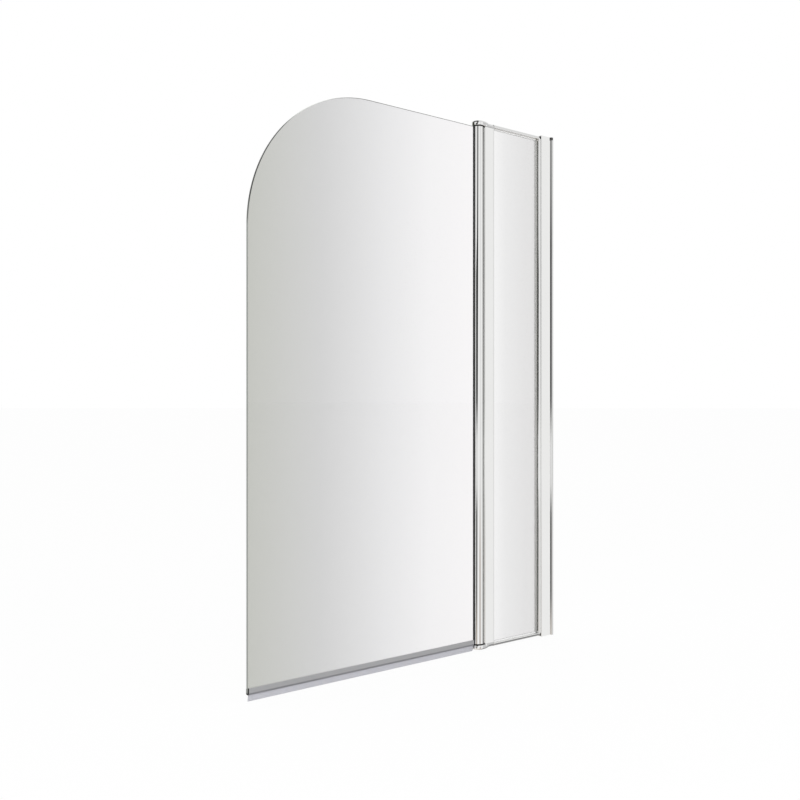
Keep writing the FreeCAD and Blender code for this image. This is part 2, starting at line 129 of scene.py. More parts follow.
wiped.links.new(wiped_in.outputs["Drop Scale"], drops.inputs["Scale"])
wiped.links.new(drops.outputs["Distance"], drop_edge.inputs["Value"])
wiped.links.new(smear.outputs["Fac"], both.inputs[0])
wiped.links.new(drop_edge.outputs["Result"], both.inputs[1])
wiped.links.new(smear.outputs["Fac"], both.inputs[2])
wiped.links.new(both.outputs["Value"], wiped_out.inputs["Mask"])


# Fine grain: one noise, read at a place that each material stretches along the lines of its die
# or wheel, or not at all for a mould. Its height feeds a Bump node.
grain, grain_in, grain_out = new_group(
    "fine grain", [("Place", "Vector", (0.0, 0.0, 0.0)), ("Scale", "Float", 1.0)], [("Height", "Float")])
grain_noise = grain.nodes.new("ShaderNodeTexNoise")
grain_noise.inputs["Detail"].default_value = 2.0
grain.links.new(grain_in.outputs["Place"], grain_noise.inputs["Vector"])
grain.links.new(grain_in.outputs["Scale"], grain_noise.inputs["Scale"])
grain.links.new(grain_noise.outputs["Fac"], grain_out.inputs["Height"])


def dulled(tree, mask, shader, clean, smeared):
    """Roughness that goes from clean to smeared with the wiped surface's mask."""
    rough = tree.nodes.new("ShaderNodeMapRange")
    rough.inputs["To Min"].default_value = clean
    rough.inputs["To Max"].default_value = smeared
    tree.links.new(mask.outputs["Mask"], rough.inputs["Value"])
    tree.links.new(rough.outputs["Result"], shader.inputs["Roughness"])


def tinted(tree, mask, shader, clean, smeared):
    """Colour that goes from clean to smeared with the wiped surface's mask."""
    tint = tree.nodes.new("ShaderNodeMix")
    tint.data_type = "RGBA"
    tint.inputs["A"].default_value = (*clean, 1.0)
    tint.inputs["B"].default_value = (*smeared, 1.0)
    tree.links.new(mask.outputs["Mask"], tint.inputs["Factor"])
    tree.links.new(tint.outputs["Result"], shader.inputs["Base Color"])


def grained(tree, place, shader, scale, strength, depth):
    """Surface lifted by the fine grain, read at place, by strength times depth in metres."""
    texture = use_group(tree, grain, Scale=scale)
    tree.links.new(place.outputs["Vector"], texture.inputs["Place"])
    bump = tree.nodes.new("ShaderNodeBump")
    bump.inputs["Strength"].default_value = strength
    bump.inputs["Distance"].default_value = depth
    tree.links.new(texture.outputs["Height"], bump.inputs["Height"])
    tree.links.new(bump.outputs["Normal"], shader.inputs["Normal"])


def bright_metal(name, colour, roughness, lines, line_scale):
    """Polished metal: the colour varies a little with the smears, and the lines of the die or of
    the polishing wheel, a noise stretched by line_scale, lift the surface by a few micrometres."""
    material, tree, shader = new_material(name)
    shader.inputs["Metallic"].default_value = 1.0
    mask = use_group(tree, wiped)
    tree.links.new(object_place(tree).outputs["Vector"], mask.inputs["Place"])
    dulled(tree, mask, shader, roughness, roughness * 2.2)
    tinted(tree, mask, shader, colour, (colour[0] * 0.95, colour[1] * 0.95, colour[2] * 0.94))
    grained(tree, object_place(tree, line_scale), shader, 1.0, lines, 0.00002)
    return material


upright_metal = bright_metal("polished upright extrusion", (0.87, 0.87, 0.865), 0.03, 0.15,
                             (1500.0, 1500.0, 4.0))


def rounded(corners, steps=8):
    """Closed outline through (a, b) or (a, b, radius) corners. The arc in a corner touches both
    sides: its centre is on the bisector, radius / sin(half the corner's angle) from the corner."""
    points = []
    for i, corner in enumerate(corners):
        here = np.array(corner[:2])
        if len(corner) == 2:
            points.append(here[None, :])
            continue
        before, after = (np.array(corners[j % len(corners)][:2]) - here for j in (i - 1, i + 1))
        before, after = before / np.linalg.norm(before), after / np.linalg.norm(after)
        half = math.acos(np.clip(before @ after, -1.0, 1.0)) / 2
        bisector = (before + after) / np.linalg.norm(before + after)
        centre = here + bisector * corner[2] / math.sin(half)
        start, end = (here + side * corner[2] / math.tan(half) - centre for side in (before, after))
        first = math.atan2(start[1], start[0])
        turn = (math.atan2(end[1], end[0]) - first + math.pi) % (2 * math.pi) - math.pi
        angles = first + turn * np.linspace(0.0, 1.0, steps + 1)
        points.append(centre + corner[2] * np.stack([np.cos(angles), np.sin(angles)], axis=1))
    return np.concatenate(points)


def shell(name, rings, material, body, slot, *replaced):
    """Closed surface over a grid: rings is (m, n, 3), each ring closed round, and the first and
    last ring closed by a flat face, or by their own collapse onto a line or a point."""
    weld, crease = 2e-6, math.radians(32.0)
    m, n = rings.shape[:2]
    index = np.arange(m * n).reshape(m, n)
    beside = np.roll(index, -1, axis=1)
    quads = np.stack([index[:-1], beside[:-1], beside[1:], index[1:]], axis=2).reshape(-1, 4)
    mesh = bpy.data.meshes.new(name)
    mesh.from_pydata(rings.reshape(-1, 3), [], quads.tolist() + [index[0].tolist(), index[-1].tolist()])
    cleaned = bmesh.new()
    cleaned.from_mesh(mesh)
    bmesh.ops.remove_doubles(cleaned, verts=cleaned.verts, dist=weld)
    bmesh.ops.recalc_face_normals(cleaned, faces=cleaned.faces)
    cleaned.to_mesh(mesh)
    cleaned.free()
    mesh.shade_smooth()
    mesh.set_sharp_from_angle(angle=crease)
    mesh.materials.append(material)
    piece = bpy.data.objects.new(name, mesh)
    scene.collection.objects.link(piece)
    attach(piece, body)
    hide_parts(*replaced)
    return piece


def channel_rings():
    """The U outline carried up. Above the bead every point is drawn back to the flanges."""
    web, flange, inside, crest = -0.0022, 0.0163, 0.0143, 0.0208
    front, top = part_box("wall_channel")[0][0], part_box("wall_channel")[1][2]
    bead_top = top - 0.008
    half = [(web, inside, 0.0005), (front, inside, 0.0002), (front, inside + 0.0008, 0.0002),
            (front + 0.004, flange, 0.004), (-0.0105, flange, 0.0003), (-0.0075, crest, 0.0012),
            (0.0, crest, 0.0045)]
    outline = rounded(half + [(corner[0], -corner[1], *corner[2:]) for corner in half[::-1]])
    flat = np.clip(outline, (-1.0, -flange), (1.0, flange))
    levels = [(outline, 0.0), (outline, bead_top), (flat, bead_top), (flat, top)]
    return np.stack([np.column_stack([points, np.full(len(points), height)]) for points, height in levels])


shell("wall_channel_extrusion", channel_rings(), upright_metal, "wall_side", "polished_aluminium",
      "wall_channel")


# ---------------------------------------------------------------------------------------------
# Caps and plugs of the wall channel and the jamb, moulded plastic with the fine spark texture of
# the mould, pushed into the extrusions. They are pale, but for the cap over the bead's end, which
# is painted dark as the bead's shade.
# ---------------------------------------------------------------------------------------------
def moulded(name, colour, roughness, texture_depth):
    """Moulded plastic or rubber: a fine noise gives the mould's texture, and the smears of the
    wiped surface change the colour and the gloss a little."""
    material, tree, shader = new_material(name)
    place = object_place(tree)
    mask = use_group(tree, wiped, Smear_Scale=25.0, Drop_Scale=400.0)
    tree.links.new(place.outputs["Vector"], mask.inputs["Place"])
    dulled(tree, mask, shader, roughness, min(1.0, roughness * 1.4))
    tinted(tree, mask, shader, colour, [min(1.0, c * 1.2 + 0.005) for c in colour])
    grained(tree, place, shader, 4000.0, 0.3, texture_depth)
    return material


pale_plastic = (0.74, 0.74, 0.74)
satin_plastic = moulded("pale satin plastic", pale_plastic, 0.35, 0.00002)
for node in ("wall_channel_foot_plug", "jamb_top_plug", "jamb_bottom_plug"):
    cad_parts[node].material_slots[0].material = satin_plastic


def painted_over(material, factor, colour):
    """A second colour mixed over the material's own; factor and colour are sockets or values."""
    tree = material.node_tree
    shader = [node for node in tree.nodes if node.type == "BSDF_PRINCIPLED"][0]
    paint = tree.nodes.new("ShaderNodeMix")
    paint.data_type = "RGBA"
    for source, socket in ((factor, paint.inputs["Factor"]), (colour, paint.inputs["B"])):
        if isinstance(source, bpy.types.NodeSocket):
            tree.links.new(source, socket)
        else:
            socket.default_value = source
    tree.links.new(shader.inputs["Base Color"].links[0].from_socket, paint.inputs["A"])
    tree.links.new(paint.outputs["Result"], shader.inputs["Base Color"])


def cap_with_painted_bead_shade():
    """The channel's top cap: dark beyond 16.2 mm from the middle, a painted shade where it closes
    the hollow bead, and pale on the plate between the flanges."""
    # Painted shade: the dark base colour stands for the shade in the bead's hollow end.
    material = moulded("cap with painted bead shade", (0.045, 0.045, 0.043), 0.35, 0.00003)
    tree = material.node_tree
    split = tree.nodes.new("ShaderNodeSeparateXYZ")
    tree.links.new(object_place(tree).outputs["Vector"], split.inputs["Vector"])
    across = tree.nodes.new("ShaderNodeMath")
    across.operation = "ABSOLUTE"
    tree.links.new(split.outputs["Y"], across.inputs[0])
    plate = tree.nodes.new("ShaderNodeMath")
    plate.operation = "LESS_THAN"
    plate.inputs[1].default_value = 0.0162
    tree.links.new(across.outputs["Value"], plate.inputs[0])
    painted_over(material, plate.outputs["Value"], (*pale_plastic, 1.0))
    return material


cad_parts["wall_channel_top_cap"].material_slots[0].material = cap_with_painted_bead_shade()


# ---------------------------------------------------------------------------------------------
# Screws and pivot pins, turned from stainless steel. Three screws lock the jamb in the channel,
# two hold each hinge cap to the post, and the door turns on a pin pressed into each cap.
# ---------------------------------------------------------------------------------------------
screw_metal = bright_metal("turned stainless steel", (0.62, 0.61, 0.60), 0.22, 0.5, (2500.0, 2500.0, 2500.0))
for node in ("lock_screws", "bottom_cap_screws", "top_cap_screws", "bottom_pivot_pin", "top_pivot_pin"):
    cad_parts[node].material_slots[0].material = screw_metal


# ---------------------------------------------------------------------------------------------
# Covers of the three locking screws, moulded domes of plated plastic, 7 mm across. They are
# pushed on over the screws from the bathing side.
# ---------------------------------------------------------------------------------------------
plated_plastic = bright_metal("plated plastic", (0.80, 0.80, 0.80), 0.10, 0.1, (900.0, 900.0, 900.0))
cover_radius = 0.0035


def screw_cover(name, height):
    """Round the screw's axis, which runs along Y: a rim 3.5 mm in radius, and over it the
    superellipse r = 3.5 sqrt(cos t), y = 2 sqrt(sin t) mm."""
    dome, edge = 0.002, 0.0002
    low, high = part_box("lock_screw_caps")
    turn = np.radians(np.linspace(0.0, 360.0, 49))[:-1]
    lift = np.radians(np.linspace(0.0, 90.0, 19))
    radius = np.concatenate([[0.0, cover_radius - edge, cover_radius],
                             cover_radius * np.sqrt(np.clip(np.cos(lift), 0.0, 1.0))])
    out = np.concatenate([[0.0, 0.0, edge], high[1] - low[1] - dome + dome * np.sqrt(np.sin(lift))])
    rings = np.stack([(low[0] + high[0]) / 2 + np.outer(radius, np.cos(turn)),
                      low[1] + np.outer(out, np.ones_like(turn)),
                      height + np.outer(radius, np.sin(turn))], axis=2)
    shell(name, rings, plated_plastic, "wall_side", "cover_plastic", "lock_screw_caps")


cover_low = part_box("lock_screw_caps")[0][2] + cover_radius
cover_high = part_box("lock_screw_caps")[1][2] - cover_radius
screw_cover("lock_screw_cover_low", cover_low)
screw_cover("lock_screw_cover_middle", (cover_low + cover_high) / 2)
screw_cover("lock_screw_cover_high", cover_high)


# ---------------------------------------------------------------------------------------------
# Jamb, the extrusion that holds the fixed glass at the wall and slides in the channel. Its nose
# stands in front of the channel, round towards the room and well cut back behind the glass.
# ---------------------------------------------------------------------------------------------
pocket_half = 0.0045       # half the width of the pockets round the fixed glass
jamb_low, jamb_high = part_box("jamb_profile")
jamb_nose = jamb_low[0]
jamb_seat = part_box("jamb_gasket")[1][0]
pocket_low, pocket_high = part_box("jamb_gasket")[0][2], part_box("jamb_gasket")[1][2]


def jamb_rings():
    """The outline carried up in three lengths. Where the rails pass under and over the nose,
    every point in front of the glass pocket's floor is drawn back to that floor."""
    half, end = 0.014, jamb_high[0]
    outline = rounded([(end, -half, 0.0008), (end, half, 0.0008), (jamb_nose + 0.0044, half, 0.0087),
                       (jamb_nose, pocket_half, 0.0003), (jamb_seat, pocket_half), (jamb_seat, -pocket_half),
                       (jamb_nose, -pocket_half, 0.0003), (jamb_nose, -half, 0.0048)], 16)
    cut = np.maximum(outline, (jamb_seat, -1.0))
    levels = [(cut, jamb_low[2]), (cut, pocket_low), (outline, pocket_low), (outline, pocket_high),
              (cut, pocket_high), (cut, jamb_high[2])]
    return np.stack([np.column_stack([points, np.full(len(points), height)]) for points, height in levels])


shell("jamb_extrusion", jamb_rings(), upright_metal, "fixed_panel", "polished_aluminium", "jamb_profile")


# ---------------------------------------------------------------------------------------------
# Hinge post, the standing extrusion between the barrel and the fixed glass. Its hollow face goes
# round the barrel and ends in two rounded horns, and a black wiper strip lies in its middle.
# ---------------------------------------------------------------------------------------------
hinge_x = -0.2835           # the door's axis, in the barrel's and the caps' middle
into_cap = 0.0025           # how much further than the CAD's post this one reaches into each cap
flat_half = 0.013           # half the thickness over the flat faces of the post and of a rail
post_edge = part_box("hinge_post")[1][0] - hinge_x
post_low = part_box("hinge_post")[0][2] - into_cap
post_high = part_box("hinge_post")[1][2] + into_cap


def carried(outline, low, high, upright=True):
    """Rings of a straight extrusion, the outline carried from low to high: (x, y) outlines go
    up along Z, (y, z) outlines go along X."""
    rings = np.zeros((2, len(outline), 3))
    across = (0, 1) if upright else (1, 2)
    rings[:, :, across] = outline
    rings[0, :, 3 - sum(across)] = low
    rings[1, :, 3 - sum(across)] = high
    return rings


def arc(centre, radius, first, last, steps=16):
    """Points at even angles on a circle, from first to last in degrees."""
    angles = np.radians(np.linspace(first, last, steps + 1))
    return np.array(centre) + radius * np.stack([np.cos(angles), np.sin(angles)], axis=1)


def post_section():
    """Flat faces 26 mm apart and a hollow of radius 16.1 mm. A horn is an arc of 3 mm that
    touches the flat face and the hollow, so its centre is 19.1 mm from the hinge's axis."""
    hollow, horn, half, pocket_floor = 0.0161, 0.003, flat_half, 0.0348
    wiper_half, wiper_floor = 0.0015, hollow + 0.0022
    out = math.sqrt((hollow + horn) ** 2 - (half - horn) ** 2)
    touch = math.degrees(math.atan2(half - horn, out))
    seat = math.degrees(math.asin(wiper_half / hollow))
    flat = rounded([(post_edge, -half, 0.0004), (post_edge, -pocket_half, 0.0003),
                    (pocket_floor, -pocket_half), (pocket_floor, pocket_half),
                    (post_edge, pocket_half, 0.0003), (post_edge, half, 0.0004),
                    (out, half), (out, -half)])[:-2]
    section = np.concatenate([
        arc((out, horn - half), horn, 180.0 - touch, 270.0), flat,
        arc((out, half - horn), horn, 90.0, 180.0 + touch),
        arc((0.0, 0.0), hollow, touch, seat), [(wiper_floor, wiper_half), (wiper_floor, -wiper_half)],
        arc((0.0, 0.0), hollow, -seat, -touch)])
    return section + (hinge_x, 0.0)


shell("hinge_post_extrusion", carried(post_section(), post_low, post_high), upright_metal, "fixed_panel",
      "polished_aluminium", "hinge_post")
wiper_rubber = moulded("black wiper rubber", (0.03, 0.03, 0.03), 0.5, 0.00004)
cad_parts["barrel_wiper"].material_slots[0].material = wiper_rubber


# ---------------------------------------------------------------------------------------------
# Rails over and under the fixed glass, one polished extrusion cut twice and pushed on along the
# glass with its groove. Its face is flat beside the groove and well rounded on the outer edge.
# ---------------------------------------------------------------------------------------------
level_metal = bright_metal("polished level extrusion", (0.86, 0.86, 0.855), 0.04, 0.15,
                           (4.0, 1500.0, 1500.0))


def rail(name, outer, inner):
    """Rail between the heights outer, of its edge with a radius of 7.4 mm, and inner, of its
    face with the groove, which is 5.5 mm deep."""
    edge, lip_edge, mouth_edge = 0.0074, 0.00015, 0.0001
    groove = inner - math.copysign(0.0055, inner - outer)
    section = [(-flat_half, outer, edge), (-flat_half, inner, lip_edge), (-pocket_half, inner, mouth_edge),
               (-pocket_half, groove), (pocket_half, groove), (pocket_half, inner, mouth_edge),
               (flat_half, inner, lip_edge), (flat_half, outer, edge)]
    low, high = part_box(name)
    shell(name + "_extrusion", carried(rounded(section), low[0], high[0], upright=False), level_metal,
          "fixed_panel", "polished_aluminium", name)


rail("bottom_rail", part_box("bottom_rail")[0][2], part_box("bottom_rail")[1][2])
rail("top_rail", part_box("top_rail")[1][2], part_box("top_rail")[0][2])


# ---------------------------------------------------------------------------------------------
# Glazing strips round the fixed glass, soft U-shaped extrusions pushed into the pockets of the
# post, the jamb and the rails. A thin lip lies on the glass beside the metal. The jamb's strip is
# coloured grey, a painted shade of its pocket on a strip as pale as the others.
# ---------------------------------------------------------------------------------------------
pale_strip = moulded("pale glazing strip", (0.88, 0.88, 0.88), 0.35, 0.00002)
# Painted shade: the jamb's strip is a darker copy of the pale strip, for the shade in its pocket.
jamb_strip_painted_shade = moulded("glazing strip with painted shade", (0.47, 0.47, 0.46), 0.35, 0.00002)


def glazing_strip(name, seat, mouth, tip, material, upright=True):
    """A U from the pocket's floor at seat to its mouth, with legs 1.5 mm and a web 0.9 mm thick.
    The room side has a lip that thins out to the tip. The legs clear the glass by 0.02 mm."""
    web, inner = seat + math.copysign(0.0009, mouth - seat), 0.00302
    section = rounded([(seat, -pocket_half), (mouth, -pocket_half, 0.0001), (tip, -0.0037, 0.0004),
                       (tip, -inner), (web, -inner), (web, inner), (mouth, inner), (mouth, pocket_half),
                       (seat, pocket_half)])
    low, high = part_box(name)
    if upright:
        rings = carried(section, low[2], high[2])
    else:
        rings = carried(section[:, ::-1], low[0], high[0], upright=False)
    shell(name + "_strip", rings, material, "fixed_panel", "glazing_rubber", name)


jamb_lip, rail_lip = 0.0034, 0.0026
rail_mouth_low, rail_mouth_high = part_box("bottom_rail")[1][2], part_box("top_rail")[0][2]
glazing_strip("post_gasket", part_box("post_gasket")[0][0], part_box("hinge_post")[1][0],
              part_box("post_gasket")[1][0], pale_strip)
glazing_strip("jamb_gasket", jamb_seat, jamb_nose, jamb_nose - jamb_lip, jamb_strip_painted_shade)
glazing_strip("bottom_rail_gasket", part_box("bottom_rail_gasket")[0][2], rail_mouth_low,
              rail_mouth_low + rail_lip, pale_strip, upright=False)
glazing_strip("top_rail_gasket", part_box("top_rail_gasket")[1][2], rail_mouth_high,
              rail_mouth_high - rail_lip, pale_strip, upright=False)


# ---------------------------------------------------------------------------------------------
# Hinge caps, zinc castings polished and chromed: a round boss at the end of the barrel narrows to
# the end of the post and is a little higher there. Two screws from outside hold each cap.
# ---------------------------------------------------------------------------------------------
cast_chrome = bright_metal("chromed casting", (0.88, 0.88, 0.88), 0.02, 0.3, (90.0, 90.0, 90.0))


def eased(value):
    """0 to 1 with level ends: 3 v^2 - 2 v^3, v kept between 0 and 1."""
    value = np.clip(value, 0.0, 1.0)
    return value * value * (3.0 - 2.0 * value)


def hinge_cap(name, on_top):
    """P(s, t): s goes round the outline, a circle of 17.3 mm and its tangents to the post's
    corners, and t draws each point towards the casting's long axis. Down the side it rounds
    over a quarter circle, of 3 mm at the boss and 6.5 mm at the post, into a crowned face."""
    radius, end, half, corner, axis_end, rim = 0.0173, 0.0494, 0.0136, 0.001, 0.040, 0.0008
    tangent = math.degrees(math.atan2(half, end) + math.acos(radius / math.hypot(half, end)))
    straight = np.linspace(0.0, 1.0, 25)[1:-1, None]
    direction = [math.cos(math.radians(tangent)), -math.sin(math.radians(tangent))]
    side_start = radius * np.array(direction)
    side_end = np.array([end - corner, -half])
    side = side_start + (side_end - side_start) * straight
    nose = rounded([(end, -half, corner), (end, half, corner), (end - 0.01, 0.0)])[:-1]
    outline = np.concatenate([arc((0.0, 0.0), radius, tangent, 360.0 - tangent, 72), side, nose,
                              (side * (1.0, -1.0))[::-1]])
    axis = np.stack([np.clip(outline[:, 0], 0.0, axis_end), np.zeros(len(outline))], axis=1)
    distance = np.linalg.norm(outline - axis, axis=1)
    # far is 0 at the boss and 1 at the post. The casting meets the post 1 mm higher than the boss.
    far = eased((outline[:, 0] - 0.013) / 0.017)
    foot = 0.0010 + 0.0016 * far
    head = 0.0130 + 0.0010 * eased((outline[:, 0] - 0.0158) / 0.0010)
    bend = 0.0030 + 0.0035 * far
    crown = 0.0010 - 0.0005 * far
    # From the long axis out over the face that meets the post, round its rim and down the side.
    rings = [(distance, head), (rim + 0 * far, head), (rim / 4 + 0 * far, head - rim / 4),
             (0 * far, head - rim)]
    for angle in np.linspace(0.0, math.pi / 2, 9):
        rings.append((bend * (1 - math.cos(angle)), foot + bend * (1 - math.sin(angle))))
    for share in (0.15, 0.4, 0.7, 1.0):
        rings.append((bend + (distance - bend) * share, foot - crown * (1 - (1 - share) ** 2)))
    points = np.zeros((len(rings), len(outline), 3))
    for ring, (inset, height) in zip(points, rings):
        share = (inset / distance)[:, None]
        ring[:, :2] = outline * (1 - share) + axis * share + (hinge_x, 0.0)
        ring[:, 2] = cad_box[1][2] - height if on_top else height
    shell(name + "_casting", points, cast_chrome, "fixed_panel", "chromed_casting", name)


hinge_cap("bottom_hinge_cap", False)
hinge_cap("top_hinge_cap", True)


# ---------------------------------------------------------------------------------------------
# Bearing plugs and thrust washers of the door, moulded black nylon. A plug in each end of the
# barrel turns on the pin, and a washer lies between it and the cap.
# ---------------------------------------------------------------------------------------------
black_nylon = moulded("black nylon", (0.015, 0.015, 0.015), 0.4, 0.00003)
for node in ("bottom_barrel_plug", "top_barrel_plug", "bottom_thrust_washer", "top_thrust_washer"):
    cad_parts[node].material_slots[0].material = black_nylon


# ---------------------------------------------------------------------------------------------
# Barrel of the door, a round aluminium extrusion with a groove for the glass, polished as the
# wall channel is. Its shape is the CAD's own.
# ---------------------------------------------------------------------------------------------
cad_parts["door_barrel"].material_slots[0].material = upright_metal


# ---------------------------------------------------------------------------------------------
# Wedge strips that hold the door glass in the barrel, dark rubber pressed in beside the glass
# from both faces. A soft lip stays outside the groove and lies on the glass; its dark over the
# glass is in part real rubber and in part a painted shade of the slot seen through the glass.
# ---------------------------------------------------------------------------------------------
def wedge_strip(name, side):
    """A strip 1.35 mm thick inside the groove, with a lip 3.8 mm wide outside, up to 2 mm thick. The lip's
    width also makes it a painted shade of the slot seen through the glass.
    """
    root, mouth = hinge_x - 0.0055, hinge_x - 0.0150
    section = [(root, side * 0.0030), (hinge_x - 0.0188, side * 0.0030, 0.0002),
               (hinge_x - 0.0172, side * 0.0048, 0.0012), (mouth, side * 0.0050, 0.0005),
               (mouth, side * 0.00435), (root, side * 0.00435)]
    low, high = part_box(name)
    shell(name + "_wedge", carried(rounded(section), low[2], high[2]), wiper_rubber, "door", "dark_rubber",
          name)


wedge_strip("barrel_gasket_front", -1.0)
wedge_strip("barrel_gasket_back", 1.0)


# ---------------------------------------------------------------------------------------------
# Glass of the door and of the fixed panel, 6 mm toughened float glass with ground and polished
# edges. A painted reflection makes it greyer towards the door's free edge and beside the jamb.
# ---------------------------------------------------------------------------------------------
def fill_ramp(ramp, stops):
    """Puts stops, which are (position, colour), on a Color Ramp node."""
    while len(ramp.color_ramp.elements) < len(stops):
        ramp.color_ramp.elements.new(1.0)
    for element, (position, colour) in zip(ramp.color_ramp.elements, stops):
        element.position = position
        element.color = (*colour, 1.0)


def clear_glass():
    """Float glass: a painted reflection, a grey that follows the place along the screen, from
    -1.005 m at its free edge to 0 at the wall, and the edge faces, whose normal isn't across the
    pane, carry the deeper grey-green of glass seen along its length."""
    material, tree, shader = new_material("clear toughened glass")
    shader.inputs["Metallic"].default_value = 0.0
    shader.inputs["Transmission Weight"].default_value = 1.0
    shader.inputs["IOR"].default_value = 1.5
    place = tree.nodes.new("ShaderNodeTexCoord")
    split = tree.nodes.new("ShaderNodeSeparateXYZ")
    tree.links.new(place.outputs["Object"], split.inputs["Vector"])
    along = tree.nodes.new("ShaderNodeMapRange")
    along.inputs["From Min"].default_value = -1.005
    along.inputs["From Max"].default_value = 0.0
    tree.links.new(split.outputs["X"], along.inputs["Value"])
    # Painted reflection: this grey, set by the place along the screen, stands in for the studio's reflections
    # in the glass.
    ramp = tree.nodes.new("ShaderNodeValToRGB")
    fill_ramp(ramp, [
        (0.000, (0.545, 0.550, 0.515)),
        (0.200, (0.640, 0.640, 0.640)),
        (0.400, (0.800, 0.798, 0.805)),
        (0.540, (0.895, 0.888, 0.895)),
        (0.700, (0.940, 0.925, 0.932)),
        (0.780, (0.902, 0.900, 0.900)),
        (0.822, (0.826, 0.824, 0.824)),
        (0.902, (0.768, 0.762, 0.762)),
        (0.950, (0.755, 0.748, 0.746)),
    ])
    tree.links.new(along.outputs["Result"], ramp.inputs["Fac"])
    facing = tree.nodes.new("ShaderNodeSeparateXYZ")
    tree.links.new(place.outputs["Normal"], facing.inputs["Vector"])
    across = tree.nodes.new("ShaderNodeMath")
    across.operation = "ABSOLUTE"
    tree.links.new(facing.outputs["Y"], across.inputs[0])
    edge = tree.nodes.new("ShaderNodeMapRange")
    edge.inputs["From Min"].default_value = 0.8
    edge.inputs["From Max"].default_value = 0.4
    tree.links.new(across.outputs["Value"], edge.inputs["Value"])
    tint = tree.nodes.new("ShaderNodeMix")
    tint.data_type = "RGBA"
    tint.inputs["B"].default_value = (0.16, 0.19, 0.175, 1.0)
    tree.links.new(edge.outputs["Result"], tint.inputs["Factor"])
    tree.links.new(ramp.outputs["Color"], tint.inputs["A"])
    tree.links.new(tint.outputs["Result"], shader.inputs["Base Color"])
    mask = use_group(tree, wiped, Smear_Scale=3.0, Drop_Scale=120.0)
    tree.links.new(place.outputs["Object"], mask.inputs["Place"])
    dulled(tree, mask, shader, 0.0, 0.012)
    return material


glass = clear_glass()
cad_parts["fixed_glass"].material_slots[0].material = glass


def ground_edge():
    """Ground and polished edge, with painted reflections and shade by the way it faces: grey where
    it stands upright, deep green-grey where it turns over, nearly as pale as the glass near the end
    of the corner, and dark again along the top. The ramp reads how far the edge has turned over,
    the same on its face and its two arrises."""
    grey = (0.27, 0.28, 0.265)
    material = moulded("ground glass edge", grey, 0.25, 0.00001)
    tree = material.node_tree
    place = tree.nodes.new("ShaderNodeTexCoord")
    upright = tree.nodes.new("ShaderNodeVectorMath")
    upright.operation = "MULTIPLY"
    upright.inputs[1].default_value = (1.0, 0.0, 1.0)
    tree.links.new(place.outputs["Normal"], upright.inputs[0])
    turned = tree.nodes.new("ShaderNodeVectorMath")
    turned.operation = "NORMALIZE"
    tree.links.new(upright.outputs["Vector"], turned.inputs[0])
    split = tree.nodes.new("ShaderNodeSeparateXYZ")
    tree.links.new(turned.outputs["Vector"], split.inputs["Vector"])
    ramp = tree.nodes.new("ShaderNodeValToRGB")
    # Painted reflection and shade: the edge's grey is scaled by how far its face turns up or down.
    painted_light_shares = [(0.00, 1.20), (0.05, 0.60), (0.20, 0.15), (0.68, 0.15), (0.80, 2.30), (0.92, 2.30),
              (0.965, 0.30), (1.00, 0.10)]
    fill_ramp(ramp, [(position, [part * share for part in grey]) for position, share in painted_light_shares])
    tree.links.new(split.outputs["Z"], ramp.inputs["Fac"])
    painted_over(material, 0.9, ramp.outputs["Color"])
    return material


def pane(name, corner_radius, material):
    """Rings of a pane: its outline, a rectangle with one round corner, drawn in by 1 mm at the
    room side and 0.5 mm at the bathing side, so that every edge has a small ground arris."""
    low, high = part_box(name)
    rings = []
    for inset, depth in [(0.0010, -0.0030), (0.00015, -0.0022), (0.0, -0.0019), (0.0, 0.0024),
                         (0.0001, 0.0026), (0.0005, 0.0030)]:
        corners = [(low[0] + inset, low[2] + inset), (high[0] - inset, low[2] + inset),
                   (high[0] - inset, high[2] - inset),
                   (low[0] + inset, high[2] - inset, corner_radius - inset)]
        outline = rounded(corners, 96)
        ring = np.zeros((len(outline), 3))
        ring[:, (0, 2)] = outline
        ring[:, 1] = depth
        rings.append(ring)
    piece = shell(name + "_pane", np.stack(rings), material, "door", "clear_glass", name)
    piece.data.materials.append(ground_edge())
    normals = np.zeros(len(piece.data.polygons) * 3)
    piece.data.polygons.foreach_get("normal", normals)
    edge = np.abs(normals.reshape(-1, 3)[:, 1]) < 0.95
    piece.data.polygons.foreach_set("material_index", edge.astype(np.int32))


pane("door_glass", 0.347, glass)


# ---------------------------------------------------------------------------------------------
# Seal along the door's lower edge, one soft translucent extrusion: two legs grip the glass, a
# thick web lies under it and a fin hangs to the bath rim. A dark rubber stop closes its end.
# ---------------------------------------------------------------------------------------------
def seal_plastic():
    """Soft translucent plastic in bands of height: smoky where it grips the glass, darker at
    the thick web, and pale and slightly blue in the thin fin."""
    material, tree, shader = new_material("translucent seal plastic")
    shader.inputs["Roughness"].default_value = 0.3
    shader.inputs["Transmission Weight"].default_value = 0.25
    place = tree.nodes.new("ShaderNodeTexCoord")
    split = tree.nodes.new("ShaderNodeSeparateXYZ")
    tree.links.new(place.outputs["Object"], split.inputs["Vector"])
    height = tree.nodes.new("ShaderNodeMapRange")
    height.inputs["From Min"].default_value = -0.003
    height.inputs["From Max"].default_value = 0.028
    tree.links.new(split.outputs["Z"], height.inputs["Value"])
    ramp = tree.nodes.new("ShaderNodeValToRGB")
    fill_ramp(ramp, [
        (0.00, (0.68, 0.68, 0.72)),
        (0.42, (0.64, 0.64, 0.69)),
        (0.50, (0.40, 0.40, 0.43)),
        (0.54, (0.25, 0.25, 0.27)),
        (0.61, (0.27, 0.27, 0.29)),
        (0.67, (0.45, 0.45, 0.46)),
        (1.00, (0.43, 0.43, 0.44)),
    ])
    tree.links.new(height.outputs["Result"], ramp.inputs["Fac"])
    tree.links.new(ramp.outputs["Color"], shader.inputs["Base Color"])
    return material


grip_half = 0.00305      # half the gap between the clip's legs, on the glass
web_top = 0.01645        # height of the web's upper face, under the glass


